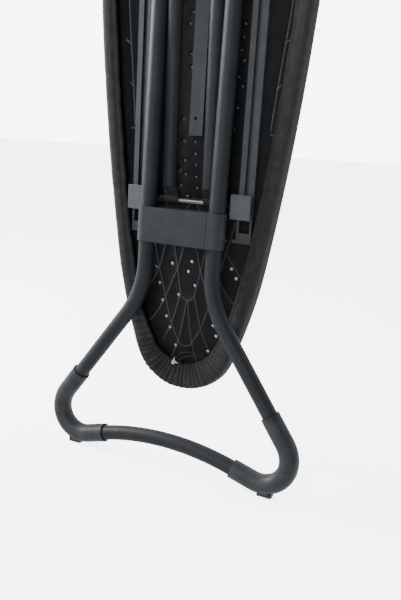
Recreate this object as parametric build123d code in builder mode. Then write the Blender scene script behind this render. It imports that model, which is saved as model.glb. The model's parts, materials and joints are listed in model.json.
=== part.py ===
from build123d import *
from math import cos, radians, sin, sqrt, tan, asin, atan2, degrees
import os

os.makedirs("parts", exist_ok=True)

# A folding ironing board, folded and standing on the feet of its outer leg.
# Millimetres. +X is to the right across the board, +Z runs up along the board
# from nose to heel, and the underside, with the legs, faces -Y.

# ---- The scissor: hinge, cross pivot and slide rod ----
ROD_Z = 488.8            # height of the slide rod
PIVOT_ARM = 350.0        # hinge to cross pivot, and cross pivot to slide rod
LEG_TILT = 2.0           # degrees between each folded leg and the board
OPEN_TURN = 46.0         # degrees that the outer leg turns to its top notch
END_OFFSET = 12.3        # from a tube's centre line back to the axis its end turns on
SLIDE_Y = 24.8           # depth of the line that the rod slides along

END_ANGLE = degrees(asin(END_OFFSET / PIVOT_ARM))
REST_ANGLE = LEG_TILT + END_ANGLE
PIVOT_Y = SLIDE_Y - PIVOT_ARM * sin(radians(REST_ANGLE))
PIVOT_Z = ROD_Z + PIVOT_ARM * cos(radians(REST_ANGLE))
HINGE_Z = ROD_Z + 2 * PIVOT_ARM * cos(radians(REST_ANGLE))
END_REACH = PIVOT_ARM * cos(radians(END_ANGLE))
FOOT_REACH = PIVOT_Z / cos(radians(LEG_TILT))

TILT_SIN = sin(radians(LEG_TILT))
TILT_COS = cos(radians(LEG_TILT))
# In both leg planes x is across, y is up and z is towards the user of the underside.
OUTER = Plane(origin=(0, PIVOT_Y, PIVOT_Z), x_dir=(1, 0, 0), z_dir=(0, -TILT_COS, TILT_SIN))
INNER = Plane(origin=(0, PIVOT_Y, PIVOT_Z), x_dir=(1, 0, 0), z_dir=(0, -TILT_COS, -TILT_SIN))

# ---- Tubes, rods and bolts ----
OUTER_X = 65.3
OUTER_R = 14.0
INNER_X = 37.5
INNER_R = 12.5
TUBE_WALL = 1.5
ROD_R = 4.0
RUNNING = 0.05           # radial clearance of a turning fit
END_WIDTH = 27.0         # flattened tube end, across
END_THICK = 12.0
END_FLAT = 8.0           # straight length of the flattened end
END_TAPER = 18.0         # length over which the round tube flattens

# ---- Feet ----
STRUT_ANGLE = 35.5
STRUT_BEND_R = 170.0
ARCH_ANGLE = 15.84
SLEEVE_TOP = (192.7, 145.7)      # centre of the upper sleeve mouth, above the foot's sole
SLEEVE_LOW = (133.0, 32.9)       # centre of the lower sleeve mouth
ELBOW_OUT = 234.5                # outermost stretch of the elbow's centre line
ELBOW_R = 17.5
ELBOW_BENDS = (60.0, 48.0)
INNER_ELBOW_R = 16.0
INNER_FOOT_SHIFT = 85.0          # how much narrower the inner foot is, each side
TUBE_INSERT = 32.0
MOUTH_GAP = 1.8                  # how much the sleeve's mouth is opened round the tube
MOUTH_DEPTH = 5.0
PAD_X = 198.0
PAD_SIZE = (28.0, 20.0, 8.0)

# ---- Board ----
NOSE_Z = 143.4
BOARD_LENGTH = 1240.0
NOSE_R = 98.0
SHOULDER_R = 875.0
SIDE_R = 4400.0
MAX_HALF_WIDTH = 198.0
WIDEST_AT = 950.0
HEEL_CORNER_R = 70.0
COVER_T = 2.0
PAD_T = 11.0
PAD_SIDE_T = 2.6
SHEET_T = 1.0
RIM_WALL = 1.2
GAP = 0.2
SHEET_Y = SLIDE_Y + 6.5          # underside of the steel top
RIM_Y = SLIDE_Y - 11.5           # lower edge of the rim
HEM_Y = RIM_Y - GAP - COVER_T
HEM_WIDTH = 30.0
METAL_INSET = COVER_T + PAD_SIDE_T + 2 * GAP

# ---- Rails, sliders and rack ----
RAIL_X = 103.0
RAIL_WIDTH = 27.0
RAIL_WALL = 1.2
RAIL_SLOT = 7.5
RAIL_LOW = 464.8
RAIL_HIGH = 876.8
RAIL_FACE_Y = SLIDE_Y - 5.5
BLOCK_X = (81.1, 117.2)
BLOCK_HEIGHT = 42.0
BLOCK_FACE_Y = SLIDE_Y - 21.6
BLOCK_FACE_T = 4.0
BLOCK_BODY_OUT = 113.0
BLOCK_GAP = 0.4
RACK_X = 4.3
RACK_PIVOT_Z = 936.8
RACK_PIVOT_Y = SLIDE_Y - 0.5
RACK_SHAFT_R = 3.0
RACK_WIDTH = 25.0
RACK_LOW = 600.4
RACK_WALL = 1.2
RACK_FACE_Y = SLIDE_Y - 9.6
RACK_EDGE_Y = SLIDE_Y - ROD_R - 0.4
RACK_NOTCH_R = 4.3
RACK_NOTCHES = 5
RACK_PITCH = 25.0
RACK_TOP_NOTCH = HINGE_Z - 2 * PIVOT_ARM * cos(radians(REST_ANGLE + OPEN_TURN))
RACK_HOLE_Z = 628.9
LEVER_X = 150.0


def facing(y):
    """A plane across the board at depth y, looking out of the underside."""
    return Plane.XZ.offset(-y)


def save(piece, name):
    piece.part.label = name
    export_step(piece.part, f"parts/{name}.step")


def side_name(side):
    return "right" if side > 0 else "left"


# ---- Board outline ----
def circle_meet(c0, r0, c1, r1):
    """The meeting point, right of c0 to c1, of two circles."""
    gap = (c1 - c0).length
    along = (r0**2 - r1**2 + gap**2) / (2 * gap)
    aside = sqrt(r0**2 - along**2)
    way = (c1 - c0).normalized()
    return c0 + way * along + Vector(way.Y, -way.X) * aside


def outline_face(inset):
    """The board's outline, drawn inset mm inside the cover: nose, shoulders, sides, heel."""
    nose = Vector(0, NOSE_R)
    side = Vector(MAX_HALF_WIDTH - SIDE_R, WIDEST_AT)
    shoulder = circle_meet(nose, SHOULDER_R - NOSE_R, side, SIDE_R - SHOULDER_R)
    nose_end = nose + (nose - shoulder).normalized() * (NOSE_R - inset)
    side_start = side + (shoulder - side).normalized() * (SIDE_R - inset)
    nose_mid = nose + (((nose_end - nose).normalized() + Vector(0, -1)).normalized()
                       * (NOSE_R - inset))
    shoulder_mid = shoulder + (((nose_end - shoulder) + (side_start - shoulder)).normalized()
                               * (SHOULDER_R - inset))
    heel = BOARD_LENGTH - inset
    side_end = Vector(side.X + sqrt((SIDE_R - inset)**2 - (heel - WIDEST_AT)**2), heel)
    half = (side_start.Y + heel) / 2
    side_mid = Vector(side.X + sqrt((SIDE_R - inset)**2 - (half - WIDEST_AT)**2), half)
    with BuildSketch() as flat:
        with BuildLine():
            ThreePointArc((0, inset), nose_mid, nose_end)
            ThreePointArc(nose_end, shoulder_mid, side_start)
            ThreePointArc(side_start, side_mid, side_end)
            Line(side_end, (0, heel))
            mirror(about=Plane.YZ)
        make_face()
        corners = flat.vertices().group_by(Axis.Y)[-1].filter_by(lambda v: abs(v.X) > 1)
        fillet(corners, HEEL_CORNER_R - inset)
    return flat.sketch


def board_slab(inset, y, thickness, mode=Mode.ADD):
    """A slab of the board's outline in the open part, from depth y back to y + thickness."""
    with BuildSketch(Plane(origin=(0, y + thickness, NOSE_Z), x_dir=(1, 0, 0),
                           z_dir=(0, -1, 0))) as layer:
        add(outline_face(inset))
    extrude(layer.sketch, amount=thickness, mode=mode)


# Steel top: a sheet with its rim turned towards the underside.
SHEET_BACK = SHEET_Y + SHEET_T
with BuildPart() as steel_top:
    board_slab(METAL_INSET, RIM_Y, SHEET_BACK - RIM_Y)
    board_slab(METAL_INSET + RIM_WALL, RIM_Y, SHEET_Y - RIM_Y, Mode.SUBTRACT)
save(steel_top, "steel_top")

# Felt pad over the top and down the outside of the rim.
PAD_INSET = COVER_T + GAP
with BuildPart() as felt_pad:
    board_slab(PAD_INSET, RIM_Y + 6, SHEET_BACK + GAP + PAD_T - RIM_Y - 6)
    board_slab(METAL_INSET - GAP, RIM_Y + 6, SHEET_BACK + GAP - RIM_Y - 6, Mode.SUBTRACT)
save(felt_pad, "felt_pad")

# Cover: a fitted cloth over the pad, gathered round the rim with a hem on the underside.
COVER_BACK = SHEET_BACK + 2 * GAP + PAD_T + COVER_T
with BuildPart() as cover:
    board_slab(0, HEM_Y, COVER_BACK - HEM_Y)
    board_slab(COVER_T, HEM_Y + COVER_T, COVER_BACK - HEM_Y - 2 * COVER_T, Mode.SUBTRACT)
    board_slab(HEM_WIDTH, HEM_Y, COVER_T, Mode.SUBTRACT)
save(cover, "cover")

# Drawstring: the two knotted ends of the hem's cord, at the nose.
KNOT_X = -8.0
KNOT_Z = 192.0
KNOT_Y = HEM_Y - 3.2
with BuildPart() as drawstring_knot:
    with Locations((KNOT_X, KNOT_Y, KNOT_Z)):
        Sphere(3.0)
save(drawstring_knot, "drawstring_knot")


# ---- Rails on the steel top ----
def rail(side):
    with BuildPart() as channel:
        with BuildSketch(Plane.XY.offset(RAIL_LOW)):
            depth = SHEET_Y - RAIL_FACE_Y
            middle = (SHEET_Y + RAIL_FACE_Y) / 2
            with Locations((side * RAIL_X, middle)):
                Rectangle(RAIL_WIDTH, depth)
                Rectangle(RAIL_WIDTH - 2 * RAIL_WALL, depth - 2 * RAIL_WALL, mode=Mode.SUBTRACT)
            with Locations((side * RAIL_X, RAIL_FACE_Y)):
                Rectangle(RAIL_SLOT, 3 * RAIL_WALL, mode=Mode.SUBTRACT)
        extrude(amount=RAIL_HIGH - RAIL_LOW)
    save(channel, f"{side_name(side)}_rail")


RAIL_END_LOW = 425.8
RAIL_END_PLATE = 18.0         # solid plate below the window
RAIL_END_FOOT = 5.5
RAIL_END_FOOT_X = 82.0
RAIL_END_STRIP = 4.0


def rail_end(side):
    """Formed end of the rail: two strips, an open window, a plate and a foot that runs inboard."""
    outer = RAIL_X + RAIL_WIDTH / 2
    window = RAIL_LOW - RAIL_END_LOW - RAIL_END_PLATE
    with BuildPart() as stop:
        with BuildSketch(facing(SHEET_Y)):
            with Locations((side * RAIL_X, (RAIL_LOW + RAIL_END_LOW) / 2)):
                Rectangle(RAIL_WIDTH, RAIL_LOW - RAIL_END_LOW)
            with Locations((side * (outer + RAIL_END_FOOT_X) / 2, RAIL_END_LOW + RAIL_END_FOOT / 2)):
                Rectangle(outer - RAIL_END_FOOT_X, RAIL_END_FOOT)
            with Locations((side * RAIL_X, RAIL_LOW - window / 2)):
                Rectangle(RAIL_WIDTH - 2 * RAIL_END_STRIP, window, mode=Mode.SUBTRACT)
        extrude(amount=SHEET_Y - RAIL_FACE_Y)
    save(stop, f"{side_name(side)}_rail_end")


def slider_block(side):
    """A moulded block on the rail: face, neck through the slot, head inside and an ear on the rod."""
    body_back = RAIL_FACE_Y - BLOCK_GAP
    head_front = RAIL_FACE_Y + RAIL_WALL + BLOCK_GAP
    head_back = SHEET_Y - RAIL_WALL - BLOCK_GAP
    inboard, outboard = BLOCK_X
    ear_out = RAIL_X - RAIL_WIDTH / 2 - BLOCK_GAP
    ear_back = SLIDE_Y + ROD_R + 1.6
    with BuildPart() as block:
        with BuildSketch(facing(BLOCK_FACE_Y + BLOCK_FACE_T)):
            with Locations((side * (inboard + outboard) / 2, ROD_Z)):
                RectangleRounded(outboard - inboard, BLOCK_HEIGHT, 1.5)
        extrude(amount=BLOCK_FACE_T)
        chamfer(block.faces().sort_by(Axis.Y)[0].edges(), 0.7)
        with BuildSketch(facing(body_back)):
            with Locations((side * (inboard + BLOCK_BODY_OUT) / 2, ROD_Z)):
                Rectangle(BLOCK_BODY_OUT - inboard, BLOCK_HEIGHT - 4)
        extrude(amount=body_back - BLOCK_FACE_Y - BLOCK_FACE_T)
        with BuildSketch(facing(head_back)):
            with Locations((side * RAIL_X, ROD_Z)):
                Rectangle(RAIL_SLOT - 2 * BLOCK_GAP, BLOCK_HEIGHT - 6)
        extrude(amount=head_back - body_back)
        with BuildSketch(facing(head_back)):
            with Locations((side * RAIL_X, ROD_Z)):
                Rectangle(RAIL_WIDTH - 2 * RAIL_WALL - 2 * BLOCK_GAP, BLOCK_HEIGHT - 6)
        extrude(amount=head_back - head_front)
        with BuildSketch(facing(ear_back)):
            with Locations((side * (inboard + ear_out) / 2, ROD_Z)):
                Rectangle(ear_out - inboard, 22)
        extrude(amount=ear_back - body_back)
        with BuildSketch(Plane.YZ.offset(side * (inboard + ear_out) / 2)):
            with Locations((SLIDE_Y, ROD_Z)):
                Circle(ROD_R + RUNNING)
        extrude(amount=ear_out - inboard, both=True, mode=Mode.SUBTRACT)
    save(block, f"slider_block_{side_name(side)}")


for side in (-1, 1):
    rail(side)
    rail_end(side)
    slider_block(side)

ROD_HALF = BLOCK_X[0] + 8.0
with BuildPart() as slide_rod:
    with BuildSketch(Plane.YZ.offset(-ROD_HALF)):
        with Locations((SLIDE_Y, ROD_Z)):
            Circle(ROD_R)
    extrude(amount=2 * ROD_HALF)
save(slide_rod, "slide_rod")

BUSH_R = 6.0
BUSH_ENDS = (INNER_X + END_WIDTH / 2 + 0.3, BLOCK_X[0] - 0.3)


def rod_bush(side):
    """A plastic spacer on the rod between the leg's end and the slider block."""
    start, stop = BUSH_ENDS
    with BuildPart() as bush:
        with BuildSketch(Plane.YZ.offset(side * start)):
            with Locations((SLIDE_Y, ROD_Z)):
                Circle(BUSH_R)
                Circle(ROD_R + RUNNING, mode=Mode.SUBTRACT)
        extrude(amount=side * (stop - start))
    save(bush, f"rod_bush_{side_name(side)}")


for side in (-1, 1):
    rod_bush(side)


# ---- Leg tubes ----
def leg_point(leg, x, along, out):
    return leg.from_local_coords(Vector(x, along, out))


def across_plane(leg, x, along, out):
    """A plane square to the leg's length."""
    return Plane(origin=leg_point(leg, x, along, out), x_dir=(1, 0, 0), z_dir=leg.y_dir)


def side_plane(leg, x):
    """A plane whose x runs up the leg and whose y points out of the underside."""
    return Plane(origin=leg_point(leg, x, 0, 0), x_dir=leg.y_dir, z_dir=(1, 0, 0))


def elbow_path(side, shift, end):
    """Elbow centre line, top sleeve to low sleeve; end is -1 for a foot below, 1 above."""
    lean = radians(STRUT_ANGLE)
    arch = radians(ARCH_ANGLE)
    knee = SLEEVE_TOP[1] - (ELBOW_OUT - SLEEVE_TOP[0]) / tan(lean)
    toe = SLEEVE_LOW[1] - (ELBOW_OUT - SLEEVE_LOW[0]) * tan(arch)
    heights = [SLEEVE_TOP, (ELBOW_OUT, knee), (ELBOW_OUT, toe), SLEEVE_LOW]
    return [(side * (x - shift), end * (FOOT_REACH - h)) for x, h in heights]


def leg_tube(name, side, leg, centre_x, radius, shift, end):
    """A tube from its flattened end, down past the cross pivot and out to the foot's sleeve."""
    lean = radians(STRUT_ANGLE)
    sleeve = elbow_path(side, shift, end)[0]
    corner_run = (abs(sleeve[0]) - centre_x) / tan(lean)
    corner = (side * centre_x, sleeve[1] - end * corner_run)
    inserted = (sleeve[0] + side * TUBE_INSERT * sin(lean), sleeve[1] + end * TUBE_INSERT * cos(lean))
    round_end = -end * (END_REACH - END_FLAT - END_TAPER)
    flat_end = -end * (END_REACH - END_FLAT)
    with BuildPart() as tube:
        with BuildLine(leg) as path:
            FilletPolyline((side * centre_x, round_end), corner, inserted, radius=STRUT_BEND_R)
        with BuildSketch(Plane(origin=path.line @ 0, x_dir=(1, 0, 0), z_dir=path.line % 0)):
            Circle(radius)
            Circle(radius - TUBE_WALL, mode=Mode.SUBTRACT)
        sweep()
        with BuildSketch(across_plane(leg, side * centre_x, round_end, 0)):
            Circle(radius)
        with BuildSketch(across_plane(leg, side * centre_x, flat_end, -END_OFFSET)):
            RectangleRounded(END_WIDTH, END_THICK, 3)
        loft()
        with BuildSketch(side_plane(leg, side * centre_x)):
            with Locations((-end * (END_REACH - END_FLAT / 2), -END_OFFSET)):
                Rectangle(END_FLAT, END_THICK)
            with Locations((-end * END_REACH, -END_OFFSET)):
                Circle(END_THICK / 2)
        extrude(amount=END_WIDTH / 2, both=True)
        with BuildSketch(side_plane(leg, side * centre_x)):
            with Locations((-end * END_REACH, -END_OFFSET), (0, 0)):
                Circle(ROD_R + RUNNING)
        extrude(amount=2 * radius, both=True, mode=Mode.SUBTRACT)
    save(tube, name)


def foot_elbow(name, side, leg, tube_r, elbow_r, shift, end):
    """A moulded elbow that takes the leg tube in one mouth and the cross tube in the other."""
    points = elbow_path(side, shift, end)
    with BuildPart() as elbow:
        with BuildLine(leg) as path:
            FilletPolyline(*points, radius=list(ELBOW_BENDS))
        with BuildSketch(Plane(origin=path.line @ 0, x_dir=leg.z_dir, z_dir=path.line % 0)):
            Circle(elbow_r)
            Circle(tube_r + RUNNING, mode=Mode.SUBTRACT)
        sweep()
        for mouth, way in ((path.line @ 0, path.line % 0), (path.line @ 1, -(path.line % 1))):
            with BuildSketch(Plane(origin=mouth, x_dir=leg.z_dir, z_dir=way)):
                Circle(tube_r + MOUTH_GAP)
            extrude(amount=MOUTH_DEPTH, mode=Mode.SUBTRACT)
    save(elbow, name)


def cross_tube(name, leg, tube_r, shift, end):
    """The foot's cross tube, arched up clear of the floor between the elbows."""
    arch = radians(ARCH_ANGLE)
    half = SLEEVE_LOW[0] - shift
    low = FOOT_REACH - SLEEVE_LOW[1]
    crown = low - half * tan(arch / 2)
    out_x = half + TUBE_INSERT * cos(arch)
    out_y = low + TUBE_INSERT * sin(arch)
    with BuildPart() as tube:
        with BuildLine(leg) as path:
            Line((-out_x, end * out_y), (-half, end * low))
            ThreePointArc((-half, end * low), (0, end * crown), (half, end * low))
            Line((half, end * low), (out_x, end * out_y))
        with BuildSketch(Plane(origin=path.line @ 0, x_dir=leg.z_dir, z_dir=path.line % 0)):
            Circle(tube_r)
            Circle(tube_r - TUBE_WALL, mode=Mode.SUBTRACT)
        sweep()
    save(tube, name)


def foot_pad(side):
    """A ribbed tread under the outer foot's elbow, flat on the floor."""
    sole_y = PIVOT_Y - PIVOT_Z * tan(radians(LEG_TILT))
    length, width, height = PAD_SIZE
    with BuildPart() as pad:
        with BuildSketch(Plane.XY):
            with Locations((side * PAD_X, sole_y)):
                RectangleRounded(length, width, 4)
        extrude(amount=height)
        with BuildSketch(Plane.XY):
            with Locations((side * PAD_X, sole_y)):
                with GridLocations(5, 0, 6, 1):
                    Rectangle(1.6, width)
        extrude(amount=1.2, mode=Mode.SUBTRACT)
        with BuildLine(OUTER) as path:
            FilletPolyline(*elbow_path(side, 0, -1), radius=list(ELBOW_BENDS))
        with BuildSketch(Plane(origin=path.line @ 0, x_dir=OUTER.z_dir, z_dir=path.line % 0)):
            Circle(ELBOW_R + RUNNING)
        sweep(mode=Mode.SUBTRACT)
    save(pad, f"foot_pad_{side_name(side)}")


for side in (-1, 1):
    name = side_name(side)
    leg_tube(f"outer_leg_tube_{name}", side, OUTER, OUTER_X, OUTER_R, 0, -1)
    foot_elbow(f"foot_elbow_{name}", side, OUTER, OUTER_R, ELBOW_R, 0, -1)
    foot_pad(side)
    leg_tube(f"inner_leg_tube_{name}", side, INNER, INNER_X, INNER_R, INNER_FOOT_SHIFT, 1)
    foot_elbow(f"inner_foot_elbow_{name}", side, INNER, INNER_R, INNER_ELBOW_R, INNER_FOOT_SHIFT, 1)

cross_tube("foot_cross_tube", OUTER, OUTER_R, 0, -1)
cross_tube("inner_foot_cross_tube", INNER, INNER_R, INNER_FOOT_SHIFT, 1)

# Clamp: a moulded band round both outer tubes, with a seam beside the right tube.
CLAMP_LOW = 416.4
CLAMP_HIGH = 476.8
CLAMP_T = 3.0
SEAM_X = 54.0
with BuildPart() as leg_clamp:
    with BuildSketch(across_plane(OUTER, 0, CLAMP_LOW - PIVOT_Z, 0)):
        SlotCenterToCenter(2 * OUTER_X, 2 * (OUTER_R + CLAMP_T))
        SlotCenterToCenter(2 * OUTER_X, 2 * (OUTER_R + RUNNING), mode=Mode.SUBTRACT)
    extrude(amount=CLAMP_HIGH - CLAMP_LOW)
    with BuildSketch(across_plane(OUTER, SEAM_X, CLAMP_LOW - PIVOT_Z, OUTER_R + CLAMP_T)):
        Rectangle(1.0, 1.4)
    extrude(amount=CLAMP_HIGH - CLAMP_LOW, mode=Mode.SUBTRACT)
save(leg_clamp, "leg_clamp")

# ---- Cross pivot hardware ----
BOLT_HEAD_R = 7.5
BOLT_HEAD_T = 4.5
SPACER_R = 9.0
TUBE_GAP = (OUTER_X - OUTER_R) - (INNER_X + INNER_R)


def pivot_bolt(side):
    """Bolt with a domed head outside the outer tube."""
    start = INNER_X - INNER_R - 9
    stop = OUTER_X + OUTER_R + 0.3
    with BuildPart() as bolt:
        with BuildSketch(Plane.YZ.offset(side * start)):
            with Locations((PIVOT_Y, PIVOT_Z)):
                Circle(ROD_R)
        extrude(amount=side * (stop - start))
        with BuildSketch(Plane.YZ.offset(side * stop)):
            with Locations((PIVOT_Y, PIVOT_Z)):
                Circle(BOLT_HEAD_R)
        extrude(amount=side * BOLT_HEAD_T)
        head = bolt.faces().sort_by(Axis.X)[-1 if side > 0 else 0]
        fillet(head.edges(), 2.5)
    save(bolt, f"pivot_bolt_{side_name(side)}")


def pivot_nut(side):
    outside = INNER_X - INNER_R - 0.5
    with BuildPart() as nut:
        with BuildSketch(Plane.YZ.offset(side * outside)):
            with Locations((PIVOT_Y, PIVOT_Z)):
                RegularPolygon(7.0, 6)
                Circle(ROD_R + RUNNING, mode=Mode.SUBTRACT)
        extrude(amount=-side * 6.5)
    save(nut, f"pivot_nut_{side_name(side)}")


def pivot_spacer(side):
    thickness = TUBE_GAP - 0.3
    with BuildPart() as spacer:
        with BuildSketch(Plane.YZ.offset(side * (INNER_X + INNER_R + 0.15))):
            with Locations((PIVOT_Y, PIVOT_Z)):
                Circle(SPACER_R)
                Circle(ROD_R + RUNNING, mode=Mode.SUBTRACT)
        extrude(amount=side * thickness)
    save(spacer, f"pivot_spacer_{side_name(side)}")


for side in (-1, 1):
    pivot_bolt(side)
    pivot_nut(side)
    pivot_spacer(side)

# ---- Fold hinge on the board ----
EAR_T = 2.5
EAR_REACH = 9.5
EAR_HEIGHT = 34.0
AXLE_HALF = 90.0
CAP_R = 6.2
BASE_T = 1.5
BASE_ENDS = (-45.0, 26.0)        # lower and upper end of the bracket's base, from the axle
WINDOW_ENDS = (-27.0, 9.0)       # window in the base that clears the leg's end
EAR_XS = (OUTER_X - END_WIDTH / 2 - 1.0 - EAR_T, OUTER_X + END_WIDTH / 2 + 1.0)

with BuildPart() as hinge_axle:
    with BuildSketch(Plane.YZ.offset(-AXLE_HALF)):
        with Locations((SLIDE_Y, HINGE_Z)):
            Circle(ROD_R)
    extrude(amount=2 * AXLE_HALF)
save(hinge_axle, "hinge_axle")


def hinge_bracket(side):
    """A bracket riveted to the steel top, with a window and an ear each side of the leg's end."""
    span = EAR_XS[1] - EAR_XS[0] + EAR_T
    with BuildPart() as bracket:
        with BuildSketch(facing(SHEET_Y)):
            with Locations((side * OUTER_X, HINGE_Z + (BASE_ENDS[0] + BASE_ENDS[1]) / 2)):
                Rectangle(span, BASE_ENDS[1] - BASE_ENDS[0])
            with Locations((side * OUTER_X, HINGE_Z + (WINDOW_ENDS[0] + WINDOW_ENDS[1]) / 2)):
                Rectangle(span - 2 * EAR_T, WINDOW_ENDS[1] - WINDOW_ENDS[0], mode=Mode.SUBTRACT)
        extrude(amount=BASE_T)
        for ear_x in EAR_XS:
            with BuildSketch(Plane.YZ.offset(side * ear_x)):
                with Locations(((SHEET_Y + SLIDE_Y) / 2, HINGE_Z)):
                    Rectangle(SHEET_Y - SLIDE_Y, EAR_HEIGHT)
                with Locations((SLIDE_Y, HINGE_Z)):
                    Circle(EAR_REACH)
                    Circle(ROD_R + RUNNING, mode=Mode.SUBTRACT)
                with Locations((SHEET_Y + EAR_REACH, HINGE_Z)):
                    Rectangle(2 * EAR_REACH, 2 * EAR_HEIGHT, mode=Mode.SUBTRACT)
            extrude(amount=side * EAR_T)
    save(bracket, f"hinge_bracket_{side_name(side)}")


def axle_cap(side):
    with BuildPart() as cap:
        with BuildSketch(Plane.YZ.offset(side * (AXLE_HALF - 5))):
            with Locations((SLIDE_Y, HINGE_Z)):
                Circle(CAP_R)
        extrude(amount=side * 7)
        with BuildSketch(Plane.YZ.offset(side * (AXLE_HALF - 5))):
            with Locations((SLIDE_Y, HINGE_Z)):
                Circle(ROD_R + RUNNING)
        extrude(amount=side * 5, mode=Mode.SUBTRACT)
    save(cap, f"axle_cap_{side_name(side)}")


for side in (-1, 1):
    hinge_bracket(side)
    axle_cap(side)

# Rivet heads that hold the hinge brackets, as one group.
RIVET_R = 4.0
RIVET_T = 1.2
with BuildPart() as hinge_rivets:
    for rivet_z in (HINGE_Z - 38, HINGE_Z + 18):
        for rivet_x in (-OUTER_X, OUTER_X):
            with BuildSketch(facing(SHEET_Y - BASE_T)):
                with Locations((rivet_x, rivet_z)):
                    Circle(RIVET_R)
            extrude(amount=RIVET_T, taper=15)
save(hinge_rivets, "hinge_rivets")

# ---- Height rack and its release lever ----
FLANGE_X = RACK_WIDTH / 2 - RACK_WALL
with BuildPart() as rack_bar:
    with BuildSketch(facing(RACK_FACE_Y + RACK_WALL)):
        with Locations((RACK_X, (RACK_LOW + RACK_PIVOT_Z) / 2)):
            Rectangle(RACK_WIDTH, RACK_PIVOT_Z - RACK_LOW)
        with Locations((RACK_X - 1.4, RACK_HOLE_Z)):
            Circle(2.8, mode=Mode.SUBTRACT)
    extrude(amount=RACK_WALL)
    for flange_x in (RACK_X - RACK_WIDTH / 2, RACK_X + FLANGE_X):
        with BuildSketch(Plane.YZ.offset(flange_x)):
            with BuildLine():
                Polyline((RACK_FACE_Y, RACK_LOW), (RACK_EDGE_Y, RACK_LOW),
                         (RACK_EDGE_Y, RACK_PIVOT_Z - 40), (RACK_PIVOT_Y, RACK_PIVOT_Z - 12),
                         (RACK_PIVOT_Y, RACK_PIVOT_Z + 6), (RACK_FACE_Y, RACK_PIVOT_Z),
                         close=True)
            make_face()
            with Locations((RACK_PIVOT_Y - 1, RACK_PIVOT_Z)):
                Circle(6)
            with Locations((RACK_PIVOT_Y, RACK_PIVOT_Z)):
                Circle(RACK_SHAFT_R + RUNNING, mode=Mode.SUBTRACT)
            with Locations(*[(RACK_EDGE_Y + 0.3, RACK_TOP_NOTCH - i * RACK_PITCH)
                             for i in range(RACK_NOTCHES)]):
                Circle(RACK_NOTCH_R, mode=Mode.SUBTRACT)
        extrude(amount=RACK_WALL)
save(rack_bar, "rack_bar")

SHAFT_LEFT = RACK_X - 24
with BuildPart() as rack_shaft:
    with BuildSketch(Plane.YZ.offset(SHAFT_LEFT)):
        with Locations((RACK_PIVOT_Y, RACK_PIVOT_Z)):
            Circle(RACK_SHAFT_R)
    extrude(amount=LEVER_X - SHAFT_LEFT)
    with BuildSketch(facing(RACK_PIVOT_Y)):
        with Locations((LEVER_X, RACK_PIVOT_Z)):
            Circle(RACK_SHAFT_R)
    extrude(amount=26)
    with Locations((LEVER_X, RACK_PIVOT_Y, RACK_PIVOT_Z)):
        Sphere(RACK_SHAFT_R)
save(rack_shaft, "rack_shaft")

with BuildPart() as lever_grip:
    with BuildSketch(facing(RACK_PIVOT_Y - 14)):
        with Locations((LEVER_X, RACK_PIVOT_Z)):
            RectangleRounded(18, 44, 6)
    extrude(amount=16)
    fillet(lever_grip.faces().sort_by(Axis.Y)[0].edges(), 3)
    with BuildSketch(facing(RACK_PIVOT_Y - 14)):
        with Locations((LEVER_X, RACK_PIVOT_Z)):
            Circle(RACK_SHAFT_R + RUNNING)
    extrude(amount=12.2, mode=Mode.SUBTRACT)
save(lever_grip, "lever_grip")


def rack_bracket(name, middle_x):
    """A saddle on the steel top that carries the rack's shaft."""
    with BuildPart() as saddle:
        with BuildSketch(facing(SHEET_Y)):
            with Locations((middle_x, RACK_PIVOT_Z)):
                Rectangle(8, 40)
        extrude(amount=BASE_T)
        with BuildSketch(Plane.YZ.offset(middle_x)):
            with Locations((RACK_PIVOT_Y, RACK_PIVOT_Z)):
                Circle(6)
            with Locations(((RACK_PIVOT_Y + SHEET_Y) / 2, RACK_PIVOT_Z)):
                Rectangle(SHEET_Y - RACK_PIVOT_Y, 12)
            with Locations((RACK_PIVOT_Y, RACK_PIVOT_Z)):
                Circle(RACK_SHAFT_R + RUNNING, mode=Mode.SUBTRACT)
        extrude(amount=2, both=True)
    save(saddle, name)


rack_bracket("rack_bracket_left", RACK_X - 18.5)
rack_bracket("rack_bracket_right", RACK_X + 18.5)
rack_bracket("lever_bracket", LEVER_X - 18)
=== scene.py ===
import json
import math
import bpy
import numpy as np
from mathutils import Matrix, Vector
from mathutils.geometry import delaunay_2d_cdt


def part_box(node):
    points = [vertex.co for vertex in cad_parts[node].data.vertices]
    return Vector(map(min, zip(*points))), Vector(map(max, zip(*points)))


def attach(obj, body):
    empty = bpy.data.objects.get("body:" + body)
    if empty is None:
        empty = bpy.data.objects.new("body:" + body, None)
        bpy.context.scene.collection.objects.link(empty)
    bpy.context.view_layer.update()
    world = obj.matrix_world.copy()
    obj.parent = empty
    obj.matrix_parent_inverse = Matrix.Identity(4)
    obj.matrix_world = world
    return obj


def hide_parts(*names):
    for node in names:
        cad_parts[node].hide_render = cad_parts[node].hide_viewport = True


# An ironing board, folded and standing on its foot with the underside to the front (-Y).
# Lengths are in metres, except where a comment says millimetres. The frame gives every CAD
# piece; this script adds the pressed sheet, the felt, the gathered cover and its drawstring,
# the materials, the lights and the camera.

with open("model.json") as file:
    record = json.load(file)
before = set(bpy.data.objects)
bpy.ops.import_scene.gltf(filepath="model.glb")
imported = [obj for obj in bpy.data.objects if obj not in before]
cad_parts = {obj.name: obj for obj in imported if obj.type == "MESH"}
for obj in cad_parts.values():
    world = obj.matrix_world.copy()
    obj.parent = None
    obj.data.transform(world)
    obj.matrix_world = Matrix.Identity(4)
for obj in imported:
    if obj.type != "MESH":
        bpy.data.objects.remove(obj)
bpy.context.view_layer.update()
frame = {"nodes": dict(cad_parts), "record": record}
MM = 0.001

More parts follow.
